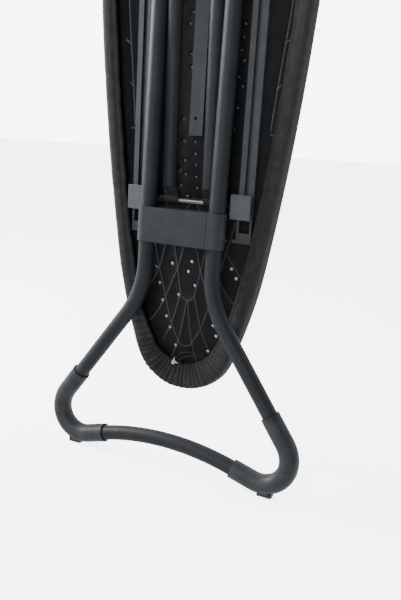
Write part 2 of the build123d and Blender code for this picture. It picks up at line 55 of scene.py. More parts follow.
# ---- Places read from the frame ----
COVER_LOW, COVER_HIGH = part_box("cover")
TOP_LOW, TOP_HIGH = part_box("steel_top")
KNOT = (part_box("drawstring_knot")[0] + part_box("drawstring_knot")[1]) / 2
NOSE_Z = COVER_LOW.z
LENGTH = COVER_HIGH.z - COVER_LOW.z
HALF_WIDTH = COVER_HIGH.x
SHEET_T = 1.0 * MM
SHEET_Y = TOP_HIGH.y - SHEET_T       # underside of the pressed sheet
RIM_Y = TOP_LOW.y
HEM_Y = COVER_LOW.y
BACK_Y = COVER_HIGH.y
METAL_INSET = COVER_HIGH.x - TOP_HIGH.x   # from the cover's edge in to the rim's

# ---- The board's outline: nose, shoulder, side and heel corner, all tangent arcs ----
NOSE_R = 98 * MM
SHOULDER_R = 875 * MM
SIDE_R = 4400 * MM
WIDEST_AT = 950 * MM
CORNER_R = 70 * MM
INSIDE_STEP = 8 * MM          # how finely a plan's edge is followed when points are tested against it


def arc_points(centre, radius, start, stop, step):
    """Points and outward normals on an arc between two angles, each end included."""
    count = max(2, int(abs(stop - start) * radius / step))
    angles = np.linspace(start, stop, count + 1)
    normals = np.stack([np.cos(angles), np.sin(angles)], 1)
    return np.array(centre) + normals * radius, normals


def outline(step):
    """Stations round the board, counter-clockwise from the nose: points, normals and run."""
    nose = np.array([0.0, NOSE_R])
    side = np.array([HALF_WIDTH - SIDE_R, WIDEST_AT])
    gap = np.linalg.norm(side - nose)
    way = (side - nose) / gap
    r_nose, r_side = SHOULDER_R - NOSE_R, SIDE_R - SHOULDER_R
    along = (r_nose**2 - r_side**2 + gap**2) / (2 * gap)
    aside = math.sqrt(r_nose**2 - along**2)
    shoulder = nose + way * along + np.array([way[1], -way[0]]) * aside
    nose_end = math.atan2(*(nose - shoulder)[::-1])
    shoulder_end = math.atan2(*(shoulder - side)[::-1])
    heel_rise = LENGTH - CORNER_R - WIDEST_AT
    corner_x = side[0] + math.sqrt((SIDE_R - CORNER_R)**2 - heel_rise**2)
    side_end = math.asin(heel_rise / (SIDE_R - CORNER_R))
    parts = [
        arc_points(nose, NOSE_R, -math.pi / 2, nose_end, step),
        arc_points(shoulder, SHOULDER_R, nose_end, shoulder_end, step),
        arc_points(side, SIDE_R, shoulder_end, side_end, step),
        arc_points((corner_x, LENGTH - CORNER_R), CORNER_R, side_end, math.pi / 2, step),
    ]
    heel_count = int(corner_x / step)
    heel_x = np.linspace(corner_x, 0, heel_count + 1)
    heel = np.stack([heel_x, np.full_like(heel_x, LENGTH)], 1)
    parts.append((heel, np.tile([0.0, 1.0], (len(heel), 1))))
    points = np.concatenate([p[:-1] for p, _ in parts] + [parts[-1][0][-1:]])
    normals = np.concatenate([n[:-1] for _, n in parts] + [parts[-1][1][-1:]])
    flip = np.array([-1.0, 1.0])
    points = np.concatenate([points, (points * flip)[-2:0:-1]])
    normals = np.concatenate([normals, (normals * flip)[-2:0:-1]])
    points[:, 1] += NOSE_Z
    run = np.concatenate([[0], np.cumsum(np.linalg.norm(np.diff(points, axis=0), axis=1))])
    return points, normals, run


def inside(xz, inset):
    """Which points lie in the outline drawn inset inside the cover's edge."""
    points, normals, _ = outline(INSIDE_STEP)
    ring = points - normals * inset
    x, z = xz[:, 0], xz[:, 1]
    found = np.zeros(len(xz), bool)
    for (x0, z0), (x1, z1) in zip(ring, np.roll(ring, -1, axis=0)):
        crosses = (z0 > z) != (z1 > z)
        if crosses.any():
            at = x0 + (z[crosses] - z0) * (x1 - x0) / (z1 - z0)
            found[crosses] ^= x[crosses] < at
    return found


def smooth(t):
    """A soft step: 0 up to t = 0, 1 from t = 1."""
    t = np.clip(t, 0, 1)
    return t * t * (3 - 2 * t)


def add_piece(name, mesh, material):
    """Puts a smooth-shaded mesh in the scene as a piece that rides on the board."""
    mesh.shade_smooth()
    piece = bpy.data.objects.new(name, mesh)
    bpy.context.collection.objects.link(piece)
    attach(piece, "board")
    paint(piece, material)
    return piece


def mesh_of(name, vertices, faces):
    mesh = bpy.data.meshes.new(name)
    mesh.from_pydata([tuple(v) for v in vertices], [], faces)
    mesh.update()
    return mesh


def paint(piece, material):
    piece.data.materials.clear()
    piece.data.materials.append(material)


def set_shade(piece, name, values):
    """A point attribute for a material to read; vertices past the last value get 0."""
    shade = piece.data.attributes.new(name, "FLOAT", "POINT")
    unset = np.zeros(len(piece.data.vertices) - len(values))
    shade.data.foreach_set("value", np.append(values, unset).astype(np.float32))


def grid_over(half_width, step):
    """A square grid of points (x, z) over the whole board."""
    across = np.arange(-half_width, half_width + MM, step)
    grid_x, grid_z = np.meshgrid(across, np.arange(NOSE_Z, NOSE_Z + LENGTH, step))
    return np.stack([grid_x.ravel(), grid_z.ravel()], 1)


def bands(count, first, second):
    """Quads between two closed rings of vertices that start at the two indices."""
    return [(first + i, second + i, second + (i + 1) % count, first + (i + 1) % count) for i in range(count)]


def fill_faces(fill, count, ring_start, next_vertex, sign):
    """A fill's triangles, its first count points being a ring of vertices that is already there."""
    def vertex(i):
        return ring_start + i if i < count else next_vertex + i - count

    return [tuple(vertex(int(i)) for i in f[::sign]) for f in fill]


HOLE_SIDES = 14
IN_HOLE = 0.96                # a triangle whose middle is within this share of a hole's radius is in it


def fill_plan(ring, extra, holes=()):
    """A triangulated plan inside a ring, through extra points, with round holes left open."""
    coords = [Vector(p) for p in ring]
    edges = [(i, (i + 1) % len(ring)) for i in range(len(ring))]
    for x, z, radius in holes:
        first = len(coords)
        for i in range(HOLE_SIDES):
            turn = 2 * math.pi * i / HOLE_SIDES
            coords.append(Vector((x + radius * math.cos(turn), z + radius * math.sin(turn))))
        edges += [(first + i, first + (i + 1) % HOLE_SIDES) for i in range(HOLE_SIDES)]
    coords += [Vector(p) for p in extra]
    points, _, faces, *_ = delaunay_2d_cdt(coords, edges, [], 1, 1e-6)
    points = np.array(points)
    faces = np.array([f for f in faces if len(f) == 3])
    if len(holes):
        middle = points[faces].mean(1)
        keep = np.ones(len(faces), bool)
        for x, z, radius in holes:
            keep &= np.hypot(middle[:, 0] - x, middle[:, 1] - z) > radius * IN_HOLE
        faces = faces[keep]
    return points, faces


# ---- Materials ----
def node_tree(name):
    material = bpy.data.materials.new(name)
    material.use_nodes = True
    tree = material.node_tree
    return material, tree, tree.nodes["Principled BSDF"]


def add_node(tree, kind, **values):
    """A new node, each value going to the input of that name or else to the node's setting."""
    node = tree.nodes.new(kind)
    for key, value in values.items():
        if key in node.inputs:
            node.inputs[key].default_value = value
        else:
            setattr(node, key, value)
    return node


def place_in_object(tree):
    return add_node(tree, "ShaderNodeTexCoord").outputs["Object"]


def along_axes(tree, direction):
    """The X, Y and Z outputs of a place or direction."""
    split = add_node(tree, "ShaderNodeSeparateXYZ")
    tree.links.new(direction, split.inputs[0])
    return split.outputs


def noise(tree, scale, detail=3.0, roughness=0.55):
    """A noise in object space, in features per metre."""
    wave = add_node(tree, "ShaderNodeTexNoise", Scale=scale, Detail=detail, Roughness=roughness)
    tree.links.new(place_in_object(tree), wave.inputs["Vector"])
    return wave.outputs["Fac"]


def attribute(tree, name):
    return add_node(tree, "ShaderNodeAttribute", attribute_name=name).outputs["Fac"]


def remap(tree, value, low, high, to_low, to_high):
    """The value's stretch from low to high, spread over to_low to to_high and held at both ends."""
    span = add_node(tree, "ShaderNodeMapRange")
    for key, number in (("From Min", low), ("From Max", high), ("To Min", to_low), ("To Max", to_high)):
        span.inputs[key].default_value = number
    tree.links.new(value, span.inputs["Value"])
    return span.outputs["Result"]


MOTTLE_SPAN = (0.35, 0.7)     # the stretch of a noise's values that a mottle goes through
GRAIN_SPAN = (0.3, 0.75)      # the same for a roughness
STREAK_SPAN = (0.3, 0.7)      # the same for a drawn or plated finish


def mottle(tree, scale, detail=4):
    """A share from 0 to 1 in soft patches."""
    return remap(tree, noise(tree, scale, detail), *MOTTLE_SPAN, 0, 1)


def mix_colour(tree, share, first, second):
    """first where share is 0 and second where it is 1; each is a colour or a socket."""
    blend = add_node(tree, "ShaderNodeMix", data_type="RGBA")
    if isinstance(share, float):
        blend.inputs[0].default_value = share
    else:
        tree.links.new(share, blend.inputs[0])
    for socket, colour in ((blend.inputs[6], first), (blend.inputs[7], second)):
        if isinstance(colour, tuple):
            socket.default_value = (*colour, 1)
        else:
            tree.links.new(colour, socket)
    return blend.outputs[2]


def add_bump(tree, shader, height, distance, strength=1.0, under=None):
    bump = add_node(tree, "ShaderNodeBump", Strength=strength, Distance=distance)
    tree.links.new(height, bump.inputs["Height"])
    if under is not None:
        tree.links.new(under, bump.inputs["Normal"])
    tree.links.new(bump.outputs["Normal"], shader.inputs["Normal"])
    return bump.outputs["Normal"]


def set_colour(tree, shader, colour):
    tree.links.new(colour, shader.inputs["Base Color"])


def set_roughness(tree, shader, wave, span, low, high):
    tree.links.new(remap(tree, wave, *span, low, high), shader.inputs["Roughness"])


def set_specular(shader, level):
    shader.inputs["Specular IOR Level"].default_value = level


def maths(tree, operation, first, second=None):
    step = add_node(tree, "ShaderNodeMath", operation=operation)
    for socket, value in zip(step.inputs, (first, second)):
        if value is None:
            continue
        if isinstance(value, (int, float)):
            socket.default_value = value
        else:
            tree.links.new(value, socket)
    return step.outputs[0]


def grey(level, tint=0.0):
    """A near-neutral linear colour, bluer as tint grows."""
    return (level * (1 - tint), level, level * (1 + tint))


def powder_coat():
    """Satin charcoal powder coat: a fine orange peel and faint handling marks."""
    material, tree, shader = node_tree("powder_coat")
    set_colour(tree, shader, mix_colour(tree, mottle(tree, 22), grey(0.024, 0.12), grey(0.032, 0.12)))
    set_roughness(tree, shader, noise(tree, 140, 5), GRAIN_SPAN, 0.46, 0.6)
    set_specular(shader, 0.2)
    add_bump(tree, shader, noise(tree, 900, 2), 0.00012, 0.5)
    return material


SCUFF = (0.30, 0.31, 0.32)
SCUFF_SPAN = (0.56, 0.66)
SCUFF_SHARE = 0.75


def moulded(name, dark, light, rough, scuff_below=None):
    """Moulded plastic: spark-eroded grain, faint flow marks and, near the floor, pale scuffs."""
    material, tree, shader = node_tree(name)
    colour = mix_colour(tree, mottle(tree, 35), dark, light)
    if scuff_below is not None:
        low = remap(tree, along_axes(tree, place_in_object(tree))["Z"], scuff_below, 0.0, 0, 1)
        marks = remap(tree, noise(tree, 260, 6, 0.7), *SCUFF_SPAN, 0, SCUFF_SHARE)
        colour = mix_colour(tree, maths(tree, "MULTIPLY", low, marks), colour, SCUFF)
    set_colour(tree, shader, colour)
    set_roughness(tree, shader, noise(tree, 90, 4), GRAIN_SPAN, rough - 0.06, rough + 0.06)
    set_specular(shader, 0.22)
    add_bump(tree, shader, noise(tree, 1500, 2), 0.0001, 0.5)
    return material


def painted_steel(name, dark, light, rough):
    """Sheet steel painted before forming: faint drawing marks along Z and a slight mottle."""
    material, tree, shader = node_tree(name)
    stretch = add_node(tree, "ShaderNodeMapping", Scale=(1.0, 1.0, 0.04))
    streak = add_node(tree, "ShaderNodeTexNoise", Scale=520.0, Detail=3.0)
    tree.links.new(place_in_object(tree), stretch.inputs["Vector"])
    tree.links.new(stretch.outputs["Vector"], streak.inputs["Vector"])
    set_colour(tree, shader, mix_colour(tree, mottle(tree, 30), dark, light))
    set_roughness(tree, shader, streak.outputs["Fac"], STREAK_SPAN, rough - 0.05, rough + 0.07)
    set_specular(shader, 0.25)
    add_bump(tree, shader, streak.outputs["Fac"], 0.00006, 0.4)
    return material


def pressed_paint():
    """The pressed sheet's dark paint, paler on the crests of its beads: part wear, part a painted highlight
    where the beads catch light.
    """
    material, tree, shader = node_tree("pressed_paint")
    ground = mix_colour(tree, mottle(tree, 60, 5), grey(0.006, 0.12), grey(0.011, 0.12))
    # the crests' paler colour is part wear, part painted highlight
    worn_and_highlit = remap(tree, noise(tree, 180, 3), 0.2, 0.6, 0.55, 1.0)
    wear_and_highlight = maths(tree, "MULTIPLY", attribute(tree, "crest_wear_and_highlight"), worn_and_highlit)
    set_colour(tree, shader, mix_colour(tree, wear_and_highlight, ground, grey(0.16, 0.05)))
    set_roughness(tree, shader, noise(tree, 120, 4), GRAIN_SPAN, 0.52, 0.68)
    set_specular(shader, 0.16)
    add_bump(tree, shader, noise(tree, 700, 2), 0.0001, 0.4)
    return material


def zinc_plate():
    """Bright zinc on steel, slightly clouded."""
    material, tree, shader = node_tree("zinc_plate")
    set_colour(tree, shader, mix_colour(tree, mottle(tree, 160), (0.84, 0.85, 0.87), (0.93, 0.93, 0.93)))
    shader.inputs["Metallic"].default_value = 1.0
    set_roughness(tree, shader, noise(tree, 420, 3), STREAK_SPAN, 0.34, 0.44)
    return material


def woven(name, dark, light, pitch, sheen=0.06, fold_painted_shade=None):
    """A plain weave: threads over and under in two directions, with slubs and a soft fuzz.

    The colour given for the folds is painted shade, laid on where the mesh's "valley" attribute is 1, deep
    in a fold.
    """
    material, tree, shader = node_tree(name)
    axes = along_axes(tree, place_in_object(tree))
    turns = 2 * math.pi / pitch
    across = maths(tree, "ADD", axes["X"], axes["Y"])
    warp = maths(tree, "SINE", maths(tree, "MULTIPLY", across, turns))
    weft = maths(tree, "SINE", maths(tree, "MULTIPLY", axes["Z"], turns))
    thread = maths(tree, "MULTIPLY", warp, weft)
    slub = noise(tree, 70, 4)
    tone = maths(tree, "ADD", remap(tree, slub, 0.3, 0.7, 0, 0.7), remap(tree, thread, -1, 1, 0, 0.3))
    colour = mix_colour(tree, tone, dark, light)
    # painted shade: the cloth goes dark deep in the folds
    if fold_painted_shade is not None:
        colour = mix_colour(tree, attribute(tree, "valley"), colour, fold_painted_shade)
    set_colour(tree, shader, colour)
    shader.inputs["Roughness"].default_value = 0.82
    shader.inputs["Sheen Weight"].default_value = sheen
    shader.inputs["Sheen Roughness"].default_value = 0.5
    set_specular(shader, 0.25)
    fine = add_bump(tree, shader, thread, 0.0002, 0.45)
    add_bump(tree, shader, slub, 0.0015, 0.25, under=fine)
    return material


FELT_SHADE_ABOVE = (0.44, 0.52)   # metres up the board, from where the felt's painted shade starts to where it is full
# how far the felt is painted towards its shade colour at the heel
FELT_SHADE_SHARE = 0.8


def needled_felt():
    """Pale needled felt, darkened towards the heel by painted shade, for the upper vents whose felt lies in
    shade between the legs.
    """
    material, tree, shader = node_tree("needled_felt")
    fibre = noise(tree, 900, 6, 0.75)
    fibres = remap(tree, fibre, 0.3, 0.7, 0.3, 1.0)
    cloud = remap(tree, noise(tree, 60, 3), 0.2, 0.8, 0.6, 1.0)
    tone = maths(tree, "MULTIPLY", fibres, cloud)
    felt_unshaded = mix_colour(tree, tone, (0.50, 0.50, 0.49), (0.80, 0.80, 0.79))
    height = along_axes(tree, place_in_object(tree))["Z"]
    painted_felt_shade = remap(tree, height, *FELT_SHADE_ABOVE, 0, FELT_SHADE_SHARE)
    # painted shade: the felt goes darker up the board
    set_colour(tree, shader, mix_colour(tree, painted_felt_shade, felt_unshaded, (0.09, 0.09, 0.092)))
    shader.inputs["Roughness"].default_value = 0.95
    shader.inputs["Sheen Weight"].default_value = 0.3
    add_bump(tree, shader, fibre, 0.0006, 0.6)
    return material


COAT = powder_coat()
FOOT_PLASTIC = moulded("foot_plastic", grey(0.034, 0.11), grey(0.060, 0.11), 0.5, scuff_below=0.016)
TRIM_PLASTIC = moulded("trim_plastic", grey(0.012, 0.05), grey(0.018, 0.05), 0.48)
CLAMP_PLASTIC = moulded("clamp_plastic", grey(0.034, 0.15), grey(0.044, 0.15), 0.5)
SLIDER_PLASTIC = moulded("slider_plastic", grey(0.100, 0.07), grey(0.125, 0.07), 0.46)
STOP_PLASTIC = moulded("stop_plastic", grey(0.050, 0.07), grey(0.065, 0.07), 0.46)
RAIL_PAINT = painted_steel("rail_paint", grey(0.068, 0.10), grey(0.086, 0.10), 0.42)
PRESSED = pressed_paint()
ZINC = zinc_plate()
# the cover's cotton; its last colour is the painted shade deep in the folds
COTTON = woven("black_cotton", (0.017, 0.0185, 0.020), (0.034, 0.036, 0.038), 1.1 * MM,
               fold_painted_shade=(0.002, 0.002, 0.0022))
FELT = needled_felt()
ELASTIC = woven("black_elastic", (0.010, 0.010, 0.011), (0.035, 0.035, 0.036), 0.8 * MM)
CORD = woven("white_cord", (0.45, 0.44, 0.42), (0.82, 0.81, 0.78), 0.9 * MM, sheen=0.1)

LOOKS = {
    "powder_coat": COAT,
    "foot_plastic": FOOT_PLASTIC,
    "clamp_plastic": CLAMP_PLASTIC,
    "slider_plastic": SLIDER_PLASTIC,
    "rail_paint": RAIL_PAINT,
    "zinc": ZINC,
    "dark_sheet": PRESSED,
    "cover_fabric": COTTON,
    "felt": FELT,
    "string": CORD,
}
SPECIAL_LOOKS = {
    TRIM_PLASTIC: ("axle_cap_left", "axle_cap_right", "lever_grip", "rod_bush_left", "rod_bush_right",
                   "pivot_spacer_left", "pivot_spacer_right"),
    STOP_PLASTIC: ("left_rail_end", "right_rail_end"),
}
SLOT_OF = {part["node"]: part["material_slot"] for part in frame["record"]["subparts"]}

for node_name, node_piece in frame["nodes"].items():
    paint(node_piece, LOOKS[SLOT_OF[node_name]])
for material, names in SPECIAL_LOOKS.items():
    for node_name in names:
        paint(frame["nodes"][node_name], material)


# ---- The pressed sheet: quilted cells between fine beads, vents and a turned rim ----
# Points across (x) and up from the nose (h). Plain numbers here are millimetres. Beads mirror
# about the middle.
NOSE_BEADS = (
    ((0, 164), (8, 167), (14, 176), (19, 201), (23, 222), (30, 256), (40, 296), (56, 345)),
    ((0, 76), (8, 78), (14, 85), (30, 116), (45, 165), (60, 219), (70, 262), (84, 318)),
    ((0, 283), (13, 258), (23, 222), (45, 165), (61, 134), (74, 117)),
    ((0, 352), (18, 322), (40, 296), (60, 219), (75, 190), (96, 166)),
    ((1, 164), (6, 128), (14, 86), (25, 52)),
    ((14, 174), (30, 116), (46, 82)),
    ((70, 262), (88, 236), (108, 214)),
)
# Edges of the long formed pockets beside the rails, with short ticks across them.
POCKET_EDGE = ((133.5, 465), (128.5, 473), (136, 560), (145.5, 655), (152, 760), (154, 900), (148, 1040),
               (132, 1130))
POCKET_TICKS = (537, 605, 690, 780, 870, 960)
POCKET_SHIFT = 4.0
NOSE_VENTS = ((-36, 229), (-60, 189), (-20, 172), (-52, 157), (-43, 127), (-34, 107), (-20, 74), (3, 237),
              (-3, 218), (12, 194), (53, 125), (60, 106), (46, 75), (81, 234), (91, 218), (-68, 218),
              (36, 262), (-88, 246), (24, 300), (-30, 296), (64, 282))
MIDDLE_VENTS = ((-26, 448), (-4, 447), (-2, 427), (-21, 415), (0, 408), (-30, 399), (-19, 391), (2, 388),
                (-27, 372), (5, 369), (-13, 354), (-26, 344), (15, 348), (-29, 485), (-20, 656), (-25, 638),
                (-20, 590), (-18, 569), (-67, 345))
RIGHT_VENTS = ((75, 636), (73, 616), (70, 596), (77, 580), (69, 555), (77, 540), (71, 506), (69, 470))
LEFT_VENTS = ((-118, 644), (-103, 629), (-104, 614), (-104, 561), (-105, 546), (-121, 448), (-114, 659))
NOSE_VENT_R = 3.1
UPPER_VENT_R = 2.0
BEAD_STEP = 2.5
BEAD_ROWS = (-2.0, -0.9, 0.0, 0.9, 2.0)   # rows of points across a bead
BEAD_HEIGHT = 1.0
BEAD_REACH = 1.9
# the pale crests, worn and with a painted highlight, reach this far from a bead's middle
WEAR_AND_HIGHLIGHT_REACH = 1.25
POCKET_REACH = 2.0
QUILT_HEIGHT = 2.0
QUILT_REACH = 17.0
QUILT_TOP = 330               # the quilting dies out over QUILT_FADE below this height
QUILT_FADE = 60
QUILT_WEAR_AND_HIGHLIGHT = 0.6              # how much less wear and painted highlight the quilting's crests get than the pockets' edges
DIMPLE = 1.1
DIMPLE_REACH = 2.6
COLLAR = 2.4                  # from a vent's edge out to its collar of points
PLAN_STEP = 6.0
BEAD_CLEAR = 3.2              # the plan's grid stays this far off the beads
VENT_CLEAR = 0.5              # and every added point this far off the vents
EDGE_REACH = 6.0              # the pressing dies out this near the plan's edge
FAR = 25                      # beyond the reach of every pressing
VENT_MARGIN = 8 * MM
PLAN_MARGIN = 3 * MM
RIM_STEP = 5 * MM
SHEET_WALL = 0.9 * MM
BEND_R = 4.0 * MM
BEND_ANGLES = (30, 60, 90)
RIM_EDGE = ((0.0, 3.0), (0.4, 0.6), (1.6, 0.2), (2.4, 1.6))   # inward and back from the rim's front edge


def through(points, step):
    """A smooth line through the points (Catmull-Rom), sampled about every step."""
    points = np.array(points, float)
    ends = np.concatenate([[2 * points[0] - points[1]], points, [2 * points[-1] - points[-2]]])
    line = []
    for a, b, c, d in zip(ends, ends[1:], ends[2:], ends[3:]):
        count = max(2, int(np.linalg.norm(c - b) / step))
        t = np.linspace(0, 1, count, endpoint=False)[:, None]
        line.append(0.5 * (2 * b + (c - a) * t + (2 * a - 5 * b + 4 * c - d) * t**2
                           + (3 * b - a - 3 * c + d) * t**3))
    return np.concatenate(line + [points[-1:]])


def both_ways(points):
    return [points, [(-x, h) for x, h in points]]


HEEL_COLUMNS = (-72, -48, 0, 48, 72)
HEEL_ROWS = 12
HEEL_FROM = 690
HEEL_PITCH = 38
HEEL_STAGGER = (3, 17)        # across from row to row, and up from column to column


def heel_vents():
    """Vents of the heel half, in staggered columns."""
    across, up = HEEL_STAGGER
    return [(x + across * (-1)**row, HEEL_FROM + up * (column % 2) + HEEL_PITCH * row)
            for column, x in enumerate(HEEL_COLUMNS) for row in range(HEEL_ROWS)]


def bead_lines():
    """The lines of all beads, and how many of them, at the start, belong to the quilting."""
    lines = [through(points, BEAD_STEP) for bead in NOSE_BEADS for points in both_ways(bead)]
    quilted = len(lines)
    for side in (1, -1):
        lines.append(through([(POCKET_SHIFT + side * x, h) for x, h in POCKET_EDGE], BEAD_STEP))
        edge = lines[-1]
        for tick in POCKET_TICKS:
            x = float(np.interp(tick, edge[2:-2, 1], edge[2:-2, 0]))
            lines.append(through([(x - side * 1, tick), (x + side * 5, tick + 5)], BEAD_STEP))
    return lines, quilted


def distance_to(points, lines):
    """Distance from each point to the nearest of the lines' segments."""
    nearest = np.full(len(points), 1e9)
    for line in lines:
        near = ((points > line.min(0) - FAR) & (points < line.max(0) + FAR)).all(1)
        if not near.any():
            continue
        p = points[near][:, None]
        a, b = line[None, :-1], line[None, 1:]
        t = np.clip(((p - a) * (b - a)).sum(-1) / ((b - a)**2).sum(-1), 0, 1)
        gap = np.linalg.norm(p - a - t[..., None] * (b - a), axis=-1).min(1)
        nearest[near] = np.minimum(nearest[near], gap)
    return nearest


def plan_points(lines, vents):
    """Points for the plan's triangles: rows along the beads, a collar round each vent and a grid."""
    rows = []
    for line in lines:
        ahead = np.gradient(line, axis=0)
        ahead /= np.linalg.norm(ahead, axis=1)[:, None]
        square = np.stack([-ahead[:, 1], ahead[:, 0]], 1)
        rows += [line + square * shift for shift in BEAD_ROWS]
    turns = np.arange(0, 2 * math.pi, math.pi / 6)
    collars = np.array([(x + (r + COLLAR) * math.cos(a), h + (r + COLLAR) * math.sin(a))
                        for x, h, r in vents for a in turns])
    half = round(HALF_WIDTH / MM)
    grid_x, grid_h = np.meshgrid(np.arange(-half, half + 1, PLAN_STEP), np.arange(0, LENGTH / MM, PLAN_STEP))
    grid_x[1::2] += PLAN_STEP / 2
    grid = np.stack([grid_x.ravel(), grid_h.ravel()], 1)
    grid = grid[distance_to(grid, lines) > BEAD_CLEAR]
    return np.concatenate([*rows, collars, grid])


def pressed_shape(spots, lines, quilted, vents, ring):
    """How far each spot of the sheet stands out of its plane, and how much wear and painted highlight its
    bead crests get, from 0 to 1.
    """
    to_bead = distance_to(spots, lines)
    to_quilt = np.minimum(distance_to(spots, lines[:quilted]), QUILT_REACH)
    faded = smooth((QUILT_TOP - spots[:, 1]) / QUILT_FADE)
    rise = QUILT_HEIGHT * faded * (1 - to_quilt / QUILT_REACH)**1.5
    rise += BEAD_HEIGHT * smooth(1 - to_bead / BEAD_REACH)
    for x, h, r in vents:
        past_edge = np.hypot(spots[:, 0] - x, spots[:, 1] - h) - r
        rise -= DIMPLE * smooth(1 - past_edge / DIMPLE_REACH)
    rise *= smooth(distance_to(spots, [np.concatenate([ring, ring[:1]])]) / EDGE_REACH)
    pocket = distance_to(spots, lines[quilted:]) < POCKET_REACH
    # wear and painted highlight on the beads' crests
    worn_and_highlit = smooth(1 - to_bead / WEAR_AND_HIGHLIGHT_REACH) * np.where(pocket, 1.0, QUILT_WEAR_AND_HIGHLIGHT)
    return rise, worn_and_highlit


def pressed_top():
    lines, quilted = bead_lines()
    plan_inset = METAL_INSET + BEND_R
    points, normals, _ = outline(RIM_STEP)
    ring = (points - normals * plan_inset - [0, NOSE_Z]) / MM

    def fits(xy, margin):
        return inside(xy * MM + [0, NOSE_Z], plan_inset + margin)

    vents = [(x, h, NOSE_VENT_R) for x, h in NOSE_VENTS]
    vents += [(x, h, UPPER_VENT_R) for x, h in (*MIDDLE_VENTS, *RIGHT_VENTS, *LEFT_VENTS, *heel_vents())]
    vents = [v for v, ok in zip(vents, fits(np.array(vents, float)[:, :2], VENT_MARGIN)) if ok]
    extra = plan_points(lines, vents)
    extra = extra[fits(extra, PLAN_MARGIN)]
    past_vents = np.min([np.hypot(extra[:, 0] - x, extra[:, 1] - h) - r for x, h, r in vents], axis=0)
    spots, fill = fill_plan(ring, extra[past_vents > VENT_CLEAR], vents)
    rise, worn_and_highlit = pressed_shape(spots, lines, quilted, vents, ring)
    vertices = [(x * MM, SHEET_Y - up * MM, NOSE_Z + h * MM) for (x, h), up in zip(spots, rise)]
    faces = [tuple(int(i) for i in f) for f in fill]

    # The rim: a bend and a straight wall with a rolled edge, on from the plan's own edge.
    loops = [(plan_inset - BEND_R * math.sin(a), SHEET_Y - BEND_R * (1 - math.cos(a)))
             for a in np.radians(BEND_ANGLES)]
    loops += [(METAL_INSET + inward * MM, RIM_Y + back * MM) for inward, back in RIM_EDGE]
    before = 0
    for inset, y in loops:
        now = len(vertices)
        vertices += [(x, y, z) for x, z in points - normals * inset]
        faces += bands(len(points), before, now)
        before = now
    piece = add_piece("pressed_top", mesh_of("pressed_top", vertices, faces), PRESSED)
    # the crests' wear and painted highlight, for the paint to read
    set_shade(piece, "crest_wear_and_highlight", worn_and_highlit)
    solid = piece.modifiers.new("thickness", "SOLIDIFY")
    solid.thickness = SHEET_WALL
    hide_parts("steel_top")


# ---- The felt: one needled layer behind the sheet, down over the rim ----
FELT_STEP = 12 * MM
FELT_GRID = 14 * MM
GRID_HALF_WIDTH = 190 * MM
FELT_FRONT = SHEET_Y + SHEET_T + 1.6 * MM
FELT_BACK = BACK_Y - 2.4 * MM
FELT_LOW = RIM_Y + 6 * MM     # the front edge of the skirt over the rim
FELT_LUMP = 0.12 * MM
FELT_CLEAR = 6 * MM           # the grid stays this far in from the felt's edge
# The section from the middle's front, round the skirt, to the middle's back: inward from the
# metal's edge in millimetres, and the place front to back.
FELT_SECTION = ((5.0, FELT_FRONT), (-0.4, FELT_FRONT), (-0.4, FELT_LOW + 2 * MM), (-1.2, FELT_LOW),
                (-2.6, FELT_LOW + 1 * MM), (-2.7, FELT_BACK - 8 * MM), (-1.2, FELT_BACK - 3 * MM),
                (3.0, FELT_BACK))


def felt_layer():
    points, normals, _ = outline(FELT_STEP)
    profile = [(METAL_INSET + inward * MM, y) for inward, y in FELT_SECTION]
    count = len(points)
    vertices, faces = [], []
    for inset, y in profile:
        vertices += [(x, y, z) for x, z in points - normals * inset]
    for row in range(len(profile) - 1):
        faces += bands(count, row * count, (row + 1) * count)
    grid = grid_over(GRID_HALF_WIDTH, FELT_GRID)
    lumps = np.random.default_rng(5).uniform(-1, 1, len(grid) * 2) * FELT_LUMP
    for row, sign in ((0, 1), (len(profile) - 1, -1)):
        inset, y = profile[row]
        spots, fill = fill_plan(points - normals * inset, grid[inside(grid, inset + FELT_CLEAR)])
        faces += fill_faces(fill, count, row * count, len(vertices), sign)
        vertices += [(x, y + lump, z) for (x, z), lump in zip(spots[count:], lumps)]
    piece = add_piece("felt_layer", mesh_of("felt_layer", vertices, faces), FELT)
    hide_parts("felt_pad")


# ---- The cover: cloth over the back and sides, gathered on an elastic hem ----
HEM_WIDTH = 28 * MM
NOSE_HEM_EXTRA = 15 * MM
CLOTH_T = 0.9 * MM
FRONT_R = 9 * MM
BACK_R = 8 * MM
SIDE_BULGE = 2.4 * MM
NOSE_BULGE = 2.0 * MM
COVER_STEP = 1.3 * MM
COVER_GRID = 13 * MM
RIM_REACH = 16 * MM           # the hem lies on the rim this far in, and slopes back beyond it
HEM_SLOPE = 0.36
BEND_SPREAD = 95 * MM         # gathers spread this far each way from where the outline bends
# Rows of the turned edge and the elastic's casing: inward from the hem's edge and back from its
# face in millimetres, and how much of a fold shows there.
CASING_ROWS = ((1.5, 3.4, 0.6), (0.2, 2.2, 0.9), (0.6, 0.8, 1.0), (2.2, 0.0, 1.0),
               (4.2, 0.2, 1.0), (5.8, 1.1, 0.9), (7.4, 0.6, 1.0))
CASING = 7.4 * MM
CASING_STEP = 0.6 * MM        # the hem's face comes forward this much beyond the casing
FACE_SHARES = (0.12, 0.28, 0.44, 0.6, 0.76, 0.9, 1.0)
FRONT_ANGLES = (18, 36, 54, 72, 90)
SIDE_SHARES = (0.35, 0.7, 1.0)
BACK_ANGLES = (22, 45, 68, 90)
CORNER_RUN = 6 * MM           # cloth that the front corner takes up
SIDE_SHOWS = 0.5              # how much of a fold shows on the side
CORNER_SHOWS = 0.3            # and round the back's corner
BULGE_TURN = 0.8 * math.pi    # the side bulges as a sine does up to this angle
BULGE_LEFT = 0.6              # the share of the bulge that is left at the back's corner
